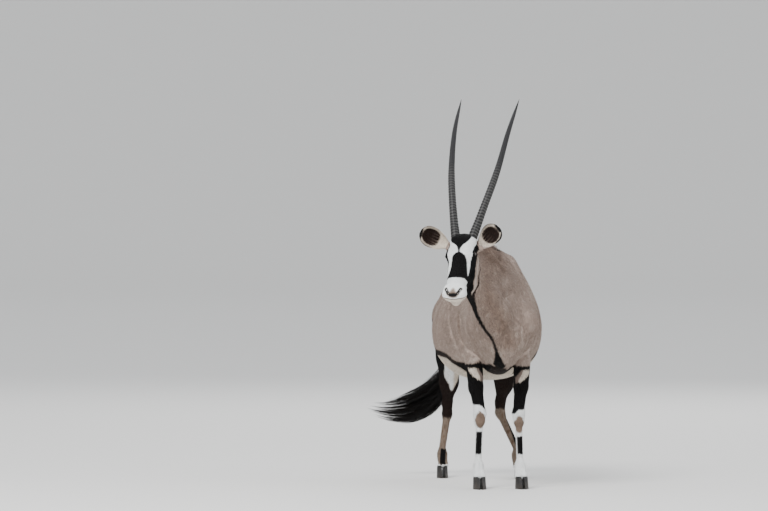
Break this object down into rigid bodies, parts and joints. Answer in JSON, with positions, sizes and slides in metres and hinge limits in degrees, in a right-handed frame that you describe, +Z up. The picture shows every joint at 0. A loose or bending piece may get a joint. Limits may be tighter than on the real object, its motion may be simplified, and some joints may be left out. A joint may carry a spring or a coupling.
{
  "type": "gemsbok",
  "caption": "Standing adult antelope with its head turned to its right, long ringed horns, a black and white face and a long black tail, life size, without moving parts",
  "frame": {"origin": "middle of the bounding box in plan, on the floor under the hooves", "axes": "Z up, the animal's left towards +X, facing -Y"},
  "size_m": [0.8286, 1.7706, 1.9866],
  "materials": {
    "coat": "short grey-brown hair",
    "dark_hair": "black hair of legs and tail",
    "white_hair": "white hair of the face, with black markings",
    "horn": "satin horn, ringed below and smooth above",
    "hoof": "satin dark horn",
    "eye": "wet, dark brown"
  },
  "bodies": {
    "root": {"head": "white_hair", "ear_left": "coat", "ear_right": "coat", "eye_left": "eye", "eye_right": "eye", "horn_left": "horn", "horn_right": "horn", "neck": "coat", "torso": "coat", "foreleg_left": "dark_hair", "foreleg_right": "dark_hair", "hindleg_left": "dark_hair", "hindleg_right": "dark_hair", "hoof_fore_left_inner": "hoof", "hoof_fore_left_outer": "hoof", "hoof_fore_right_inner": "hoof", "hoof_fore_right_outer": "hoof", "hoof_hind_left_inner": "hoof", "hoof_hind_left_outer": "hoof", "hoof_hind_right_inner": "hoof", "hoof_hind_right_outer": "hoof", "tail": "dark_hair", "tail_tuft": "dark_hair"}
  },
  "joints": []
}
